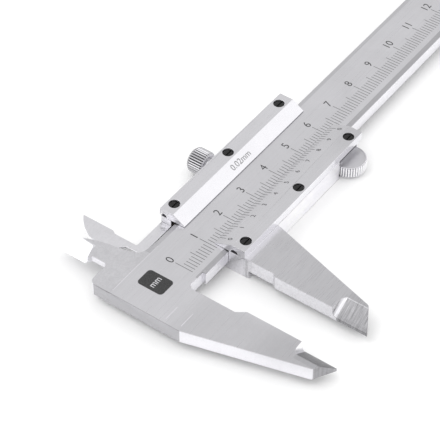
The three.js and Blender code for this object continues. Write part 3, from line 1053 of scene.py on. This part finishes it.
    def unit_mark(self, ink: bpy.types.Material, bright: bpy.types.Material) -> None:
        """A plain dark block with the unit in it, on the fixed jaw's root.

        Args:
            ink: The block's finish.
            bright: The unit's.
        """
        x, y, z = self.at.place(*self.mark_place, self.at.face_z + self.proud)
        block = Badge(width=5.4, height=7.6, corner=1.0, thick=0.03)
        dress(block.make("unit_block", (x, y, z - block.thick)), "beam", ink)
        style = Lettering(self.mark_word_height, slim=0.0)
        word = style.write("unit_word", "mm", Matrix.Translation((x, y, z + 0.004)), 0.9)
        dress(word, "beam", bright)

    def build(self, ink: bpy.types.Material, dark: bpy.types.Material, bright: bpy.types.Material) -> None:
        """Makes the beam and all that is marked on it.

        Args:
            ink: The scale lines' finish.
            dark: The numerals' and the block's.
            bright: The scribed lines' and the unit's.
        """
        self.body(self.finish())
        self.scale(ink)
        self.numerals(dark)
        self.scribed_lines(bright)
        self.unit_mark(dark, bright)


@dataclass(frozen=True)
class Badge:
    """A thin plate with rounded corners."""

    width: float
    height: float
    corner: float
    thick: float

    def make(self, name: str, low_centre: Sequence[float], steps: int = 8) -> bpy.types.Object:
        """Builds it from its outline.

        The outline is the four corner arcs c + r (cos a, sin a), a quarter turn each, joined by
        straight sides.

        Args:
            name: The piece's name.
            low_centre: The middle of its underside.
            steps: Points along each corner.

        Returns:
            The linked object.
        """
        angle = np.linspace(0, math.pi / 2, steps)
        quarter = np.repeat(np.arange(4) * math.pi / 2, steps) + np.tile(angle, 4)
        sign = np.repeat(np.array([[1, 1], [-1, 1], [-1, -1], [1, -1]]), steps, axis=0)
        middle = sign * (np.array([self.width, self.height]) / 2 - self.corner)
        outline = middle + self.corner * np.stack([np.cos(quarter), np.sin(quarter)], 1)
        count = len(outline)
        flat = np.column_stack([outline, np.zeros(count)])
        points = np.concatenate([flat, flat + (0, 0, self.thick)]) + np.asarray(low_centre)
        mesh = bpy.data.meshes.new(name)
        ring = np.arange(count)
        after = (ring + 1) % count
        sides = np.stack([ring, after, after + count, ring + count], 1).tolist()
        mesh.from_pydata((points * MM).tolist(), [], [ring[::-1].tolist(), (ring + count).tolist(), *sides])
        mesh.update()
        return link(bpy.data.objects.new(name, mesh))


# ---------------------------------------------------------------------------
# Slider
# ---------------------------------------------------------------------------

@dataclass
class Slider:
    """The slider frame with the moving jaws, its two front plates, the vernier and the screws."""

    at: Layout
    window_y: float = 4.2
    land_y: float = -0.9
    land: float = 4.0
    foot: float = 0.3
    divisions: int = 50
    division: float = 0.98
    tick_width: float = 0.14
    proud: float = 0.014
    short_tick: float = 1.5
    long_tick: float = 2.15
    digit_y: float = 0.95
    digit_height: float = 1.5
    mark_x: float = 26.7
    mark_height: float = 1.75
    mark_slim: float = -0.012

    def jaw_zones(self) -> tuple[Zone, ...]:
        """Finds where the moving jaw looks different.

        Returns:
            The jaw, streaked across and darkened with painted shade, its tip with more painted shade, its
            knife, darker partly with painted shade, the wheel's round with a painted highlight, and the
            measuring side, swirled and darkened with painted shade.
        """
        x0, y0 = self.at.zero_x, self.at.edge_y
        jaw_x = x0 - 2.8 + self.at.opening
        back_z, front_z = self.at.beam.low[2], self.at.face_z
        knife_y, wheel_y = y0 - 32.2, y0 - 30.9
        # Painted shade: the jaw's front is darkened, more towards its tip, for its dimmer reflection; its
        # stronger grinding lines are real.
        jaw_streaks_and_shade = Zone((-ANY, -ANY, -ANY), (ANY, y0 - 5.1, ANY), 0.4, tone=0.85, lines=1.6)
        tip_shade = Zone((-ANY, -ANY, -ANY), (ANY, y0 - 20, ANY), 20.0, tone=0.95)
        # The knife is coarsely ground, and darker partly as painted shade.
        knife_gouges_and_shade = Zone((-ANY, -ANY, back_z), (ANY, knife_y, front_z - 0.05), 0.2, tone=0.41, gouged=1.0)
        # Painted highlight: the wheel's round is brightened to stand for the light it catches.
        wheel_round_highlight = Zone((jaw_x + 0.1, knife_y, back_z), (ANY, wheel_y, front_z - 0.05), 0.1,
                           tone=1.55, gouged=0.3)
        # Painted shade: the measuring side, which faces the shaded floor between the jaws, is darkened; it
        # also has swirls.
        measuring_side_swirls_and_shade = Zone((jaw_x - 1, y0 - 42, -ANY), (jaw_x + 0.9, y0 - 5.2, front_z - 0.1), 0.1,
                              tone=0.93, swirl=0.12)
        return jaw_streaks_and_shade, tip_shade, knife_gouges_and_shade, wheel_round_highlight, measuring_side_swirls_and_shade

    def end_zones(self) -> tuple[Zone, ...]:
        """Finds where the frame's left side looks different.

        Returns:
            The end, swirled and darkened with painted shade, its rounded lug and the neck of the inside jaw.
        """
        x0, y0 = self.at.zero_x, self.at.edge_y
        left = self.at.lower.low[0]
        # Painted shade: the frame's left end face is darkened; it also has swirls.
        end_swirls_and_shade = Zone((left - 1, y0 - 7, -ANY), (left + 0.06, ANY, ANY), 0.04, tone=0.8, swirl=0.15)
        lug = Zone((left - 1, y0 - 7, -ANY), (left + 0.55, y0 - 4.4, ANY), 0.1, tone=0.92, swirl=0.1)
        neck = Zone((-ANY, y0 + 16.5, -ANY), (x0 + 10.6, ANY, ANY), 0.3, tone=1.09, swirl=0.06)
        return end_swirls_and_shade, lug, neck

    def finish(self) -> bpy.types.Material:
        """Ground steel with the jaws' and the frame's own zones."""
        zones = self.jaw_zones() + self.end_zones()
        # Upright faces are brightened here, a painted reflection of the floor.
        return GroundSteel("slider_steel", tone=0.62, rough=0.30, spacing=0.2, length=7.0, contrast=0.09,
                           sides=1.58, zones=zones).build()

    def plate_finish(self, name: str, tone: float) -> bpy.types.Material:
        """Bright ground steel for a front plate, darker towards its right end, darker with painted shade on
        its sawn left end, with a painted shadow at the foot of the upper plate's slope and a little painted
        shade on the slope itself.

        Args:
            name: The material's name.
            tone: How light the plate is.

        Returns:
            The material.
        """
        upper, lower = self.at.upper, self.at.lower
        # Darker towards the plate's right end.
        right_end_darkening = Zone((lower.high[0] - 8, -ANY, -ANY), (ANY, self.at.edge_y + 5, ANY), 16.0, tone=0.9)
        # The sawn left end face has swirls and more roughness, and is darkened as painted shade.
        sawn_and_shaded_end = Zone((-ANY, -ANY, -ANY), (lower.low[0] + 0.06, ANY, ANY), 0.04,
                    tone=0.78, swirl=0.15, rough=0.1)
        # Painted shadow: a dark line along the foot of the upper plate's slope, where it meets the frame.
        foot = Zone((-ANY, upper.low[1] - 1, upper.low[2] - 1),
                    (ANY, upper.low[1] + 0.08, upper.low[2] + 0.26), 0.05, tone=0.5)
        # Painted shade: the slope is slightly darkened to temper its highlight; its stronger grinding lines
        # are real.
        slope = Zone((-ANY, upper.low[1] + 0.1, upper.low[2] + self.foot),
                     (ANY, upper.high[1] - self.land - 0.02, ANY), 0.1, tone=0.92, lines=1.6)
        # Upright faces are brightened here, a painted reflection of the floor.
        return GroundSteel(name, tone=tone, rough=0.24, spacing=0.14, length=18.0, contrast=0.05, cloud=0.05,
                           sides=1.5, zones=(right_end_darkening, sawn_and_shaded_end, foot, slope)).build()

    def body(self) -> None:
        """The frame and the two plates."""
        dress(bevelled_copy("slider_frame", "slider_body", 0.1), "slider", self.finish())
        plates = (("upper_plate", "upper_plate_body", 0.64), ("vernier_plate", "vernier_plate_body", 0.6))
        for node, name, tone in plates:
            finish = self.plate_finish(name + "_steel", tone)
            dress(bevelled_copy(node, name, 0.08), "slider", finish)

    def screws(self, black: bpy.types.Material) -> None:
        """The six black plate screws.

        Args:
            black: Their finish.
        """
        for side in ("upper", "vernier"):
            for index in (1, 2, 3):
                node = f"{side}_plate_screw_{index}"
                dress(bevelled_copy(node, node + "_head", 0.06, 2), "slider", black)

    def slope_matrix(self, x: float, y: float, rise: float) -> Matrix:
        """Takes a flat word to the vernier's sloping face.

        Args:
            x: Place along the beam.
            y: Place across the beam, where the word's middle lies.
            rise: How far above the face the word's plane lies.

        Returns:
            The matrix, in millimetres.
        """
        top, low = self.at.plate_z, self.at.lower.low[2] + self.foot
        slope = math.atan2(low - top, self.window_y - self.land_y)
        z = top + (y - self.land_y) * math.tan(slope)
        place = self.at.place(x, y, z)
        lift = Vector((0, -math.sin(slope), math.cos(slope))) * rise
        return Matrix.Translation(Vector(place) + lift) @ Matrix.Rotation(slope, 4, "X")

    def vernier(self, ink: bpy.types.Material, dark: bpy.types.Material) -> None:
        """Fifty divisions of 0.98 mm on the slope, numbered every fifth line.

        Args:
            ink: The lines' finish.
            dark: The numerals'.
        """
        style = Lettering(self.digit_height, slim=0.006)
        step = np.arange(self.divisions + 1)
        length = np.where(step % 5 == 0, self.long_tick, self.short_tick)
        depth = 0.03
        centre = np.stack([step * self.division, -length / 2, np.full(len(step), -depth / 2)], 1)
        size = np.stack([np.full(len(step), self.tick_width), length, np.full(len(step), depth)], 1)
        lines = bars("vernier_lines", centre, size)
        edge = self.slope_matrix(self.at.opening, self.window_y - 0.02, self.proud)
        lines.data.transform(Matrix.Scale(MM, 4) @ edge @ Matrix.Scale(1 / MM, 4))
        dress(lines, "slider", ink)
        made = []
        for count in range(self.divisions // 5 + 1):
            x = self.at.opening + count * 5 * self.division
            matrix = self.slope_matrix(x, self.digit_y, self.proud - style.thick / 2)
            made.append(style.write(f"v{count}", str(count % 10), matrix, 0.9))
        dress(joined("vernier_numerals", made), "slider", dark)

    def resolution_mark(self, ink: bpy.types.Material) -> None:
        """The reading step, written on the upper plate's slope.

        Args:
            ink: Its finish.
        """
        top, low = self.at.plate_z, self.at.upper.low[2] + self.foot
        run = self.at.upper.high[1] - self.land - self.at.upper.low[1]
        slope = math.atan2(top - low, run)
        style = Lettering(self.mark_height, slim=self.mark_slim)
        lift = Vector((0, -math.sin(slope), math.cos(slope))) * (self.proud - style.thick / 2)
        place = Vector((self.at.upper.low[0] + self.mark_x, self.at.upper.low[1] + run / 2, (top + low) / 2))
        matrix = Matrix.Translation(place + lift) @ Matrix.Rotation(slope, 4, "X")
        dress(style.write("resolution_mark", "0.02mm", matrix), "slider", ink)

    def build(self, ink: bpy.types.Material, dark: bpy.types.Material, faint: bpy.types.Material,
              black: bpy.types.Material) -> None:
        """Makes the slider and all that is on its front.

        Args:
            ink: The vernier lines' finish.
            dark: Its numerals'.
            faint: The resolution mark's.
            black: The screws'.
        """
        self.body()
        self.screws(black)
        self.vernier(ink, dark)
        self.resolution_mark(faint)


# ---------------------------------------------------------------------------
# Knurled pieces and small parts
# ---------------------------------------------------------------------------

@dataclass
class ThumbRoller:
    """The thumb roller: a knurled rim, a turned front with a shallow ring, and a blind bore behind."""

    ribs: int = 40
    rib_depth: float = 0.26
    chamfer: float = 0.42
    bore: float = 0.8
    bore_depth: float = 2.2

    def build(self) -> None:
        """Makes the roller in its packed place."""
        box = Box.of("thumb_roller")
        radius = (box.high[0] - box.low[0]) / 2
        height = box.high[2] - box.low[2]
        inner = radius - self.chamfer
        corners = (
            (0.0, self.bore_depth, 0), (self.bore, self.bore_depth, 0), (self.bore, 0.0, 0.08),
            (inner - 0.3, 0.0, 0), (inner, 0.0, 0.06),
            (radius, self.chamfer * 0.8, 0.12), (radius, height - self.chamfer * 0.8, 0.12),
            (inner, height, 0.1), (inner - 0.12, height, 0), (inner - 0.24, height - 0.06, 0),
            (inner - 0.42, height - 0.06, 0), (inner - 0.52, height - 0.02, 0), (0.0, height - 0.02, 0),
        )
        profile, source = rounded_profile(corners)
        weight = np.isin(source, (5, 6)).astype(float)
        centre = (box.middle(0), box.middle(1), box.low[2])
        piece = revolve("thumb_roller_wheel", profile, self.ribs, self.rib_depth, weight, centre, "z", 8)
        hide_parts("thumb_roller")
        face = Zone((-ANY, -ANY, box.high[2] - 0.1), (ANY, ANY, ANY), 0.05, tone=0.7, rough=0.22)
        # The upright rim is brightened as a painted reflection of the floor, and the knurl's grooves are
        # darkened as painted shade.
        finish = GroundSteel("roller_steel", tone=0.78, rough=0.24, grain=Grain.TURNED_Z, spacing=0.35,
                             contrast=0.12, centre=centre, groove_shade=0.6, sides=1.3, zones=(face,))
        dress(piece, "roller", finish.build())


@dataclass
class LockScrew:
    """The lock screw: a straight-knurled head with rounded rims on a plain neck and a shank."""

    ribs: int = 30
    rib_depth: float = 0.34
    neck: float = 2.2
    shank: float = 1.25
    head_length: float = 5.0
    neck_length: float = 1.7

    def build(self) -> None:
        """Makes the screw in its packed place."""
        box = Box.of("lock_screw")
        radius = (box.high[0] - box.low[0]) / 2
        length = box.high[1] - box.low[1]
        head = length - self.head_length
        neck = head - self.neck_length
        corners = (
            (0.0, 0.0, 0), (self.shank - 0.2, 0.0, 0), (self.shank, 0.2, 0), (self.shank, neck, 0),
            (self.neck, neck, 0.1), (self.neck, head, 0),
            (radius - 0.75, head, 0), (radius - 0.55, head, 0.1),
            (radius, head + 0.5, 0.15), (radius, length - 0.9, 0.3), (radius - 0.85, length, 0.2),
            (radius - 1.1, length, 0), (0.0, length, 0),
        )
        profile, source = rounded_profile(corners)
        weight = np.where(np.isin(source, (8, 9)), 1.0, 0.0)
        weight = np.where(source == 10, 0.35, weight)
        centre = (box.middle(0), box.low[1], box.middle(2))
        piece = revolve("lock_screw_turned", profile, self.ribs, self.rib_depth, weight, centre, "y", 10)
        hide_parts("lock_screw")
        # The knurl's grooves are darkened as painted shade.
        finish = GroundSteel("lock_screw_steel", tone=0.52, rough=0.24, grain=Grain.TURNED_Y, spacing=0.4,
                             contrast=0.14, centre=centre, groove_shade=0.8)
        dress(piece, "screw", finish.build())


@dataclass
class SmallParts:
    """The pieces inside and behind: gib, pad, pins, depth rod, end plate and their screws."""

    def build(self, steel: bpy.types.Material, black: bpy.types.Material, brass: bpy.types.Material) -> None:
        """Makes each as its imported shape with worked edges.

        Args:
            steel: The finish of the steel pieces.
            black: The set screws'.
            brass: The spring's and the pad's.
        """
        plain = (
            ("roller_pin", "slider", 0.05), ("depth_rod", "slider", 0.06),
            ("depth_rod_rivet_1", "slider", 0.08), ("depth_rod_rivet_2", "slider", 0.08),
            ("end_plate", "beam", 0.1),
            ("end_plate_screw_1", "beam", 0.05), ("end_plate_screw_2", "beam", 0.05),
        )
        for node, body, width in plain:
            dress(bevelled_copy(node, node + "_worked", width, 2), body, steel)
        for node in ("gib_screw_1", "gib_screw_2"):
            dress(bevelled_copy(node, node + "_worked", 0.05, 2), "slider", black)
        for node, body in (("gib_spring", "slider"), ("lock_pad", "pad")):
            dress(bevelled_copy(node, node + "_worked", 0.05, 2), body, brass)


# ---------------------------------------------------------------------------
# Studio
# ---------------------------------------------------------------------------

@dataclass(frozen=True)
class Softbox:
    """A square area light that looks at the caliper."""

    name: str
    direction: tuple[float, float, float]
    distance: float
    side: float
    radiance: float

    def build(self, target: Vector) -> None:
        """Hangs the light.

        Its power is radiance x pi x area, so a mirror shows that radiance on top of the surround's.

        Args:
            target: What it looks at.
        """
        data = bpy.data.lights.new(self.name, "AREA")
        data.shape = "SQUARE"
        data.size = self.side
        data.energy = self.radiance * math.pi * self.side ** 2
        lamp = link(bpy.data.objects.new(self.name, data))
        way = Vector(self.direction).normalized()
        lamp.location = target + way * self.distance
        lamp.rotation_euler = way.to_track_quat("Z", "Y").to_euler()


@dataclass
class Studio:
    """Pale floor, soft lights and the camera."""

    at: Layout
    eye: tuple[float, float, float] = (-346.24, -177.96, 333.89)
    aim: tuple[float, float, float] = (-86.71, 9.31, 6.2)
    lens: float = 150.13
    floor_side: float = 6.0
    sky: float = 0.965

    def floor(self) -> None:
        """A wide flat sheet, a hair under z = 0, made as a grid."""
        count = 13
        line = np.linspace(-self.floor_side / 2, self.floor_side / 2, count) / MM
        x, y = np.meshgrid(line, line, indexing="ij")
        points = np.stack([x, y, np.full_like(x, -0.02)], -1).reshape(-1, 3)
        row, column = np.meshgrid(np.arange(count - 1), np.arange(count - 1), indexing="ij")
        first = row * count + column
        faces = np.stack([first, first + count, first + count + 1, first + 1], -1).reshape(-1, 4)
        sheet = mesh_object("studio_floor", points, faces)
        sheet.data.materials.append(PalePaper("studio_paper").build())

    def lights(self) -> None:
        """An even white surround and softboxes beside, above and behind."""
        world = bpy.data.worlds.new("studio_surround")
        bpy.context.scene.world = world
        world.use_nodes = True
        background = world.node_tree.nodes["Background"]
        background.inputs["Color"].default_value = (1, 1, 1, 1)
        background.inputs["Strength"].default_value = self.sky
        target = Vector(self.aim) * MM
        boxes = (
            Softbox("side_softbox", (0.57, -0.52, 0.64), 1.3, 0.75, 0.75),
            Softbox("top_softbox", (-0.30, 0.36, 0.88), 1.4, 0.9, 1.7),
            Softbox("front_softbox", (-0.40, -0.60, 0.69), 1.3, 0.38, 0.9),
        )
        for box in boxes:
            box.build(target)

    def camera(self) -> None:
        """The view along the caliper from above its fixed jaws."""
        data = bpy.data.cameras.new("view")
        data.lens = self.lens
        data.sensor_width = 36.0
        data.clip_start = 0.01
        data.clip_end = 20.0
        eye, aim = Vector(self.eye) * MM, Vector(self.aim) * MM
        view = link(bpy.data.objects.new("view", data))
        view.location = eye
        view.rotation_euler = (aim - eye).to_track_quat("-Z", "Y").to_euler()
        bpy.context.scene.camera = view

    def build(self) -> None:
        """Sets the stage."""
        bpy.context.scene.view_settings.view_transform = "Standard"
        self.floor()
        self.lights()
        self.camera()


def main() -> None:
    """Builds the studio, then each sub-assembly in order, and reports them."""
    logging.basicConfig(level=logging.INFO, format="%(name)s: %(message)s")
    at = Layout()
    Studio(at).build()
    ink = EtchedInk("scale_ink", tone=0.10).build()
    dark = EtchedInk("numeral_ink", tone=0.035).build()
    faint = EtchedInk("faint_ink", tone=0.24).build()
    black = BlackOxide("screw_black", tone=0.008).build()
    bright = GroundSteel("scribed_steel", tone=0.74, rough=0.24, contrast=0.05).build()
    plain = GroundSteel("plain_steel", tone=0.58, rough=0.34, contrast=0.12).build()
    brass = RolledBrass("gib_brass").build()
    Beam(at).build(ink, dark, bright)
    Slider(at).build(ink, dark, faint, black)
    ThumbRoller().build()
    LockScrew().build()
    SmallParts().build(plain, black, brass)


if __name__ == "__main__":
    main()
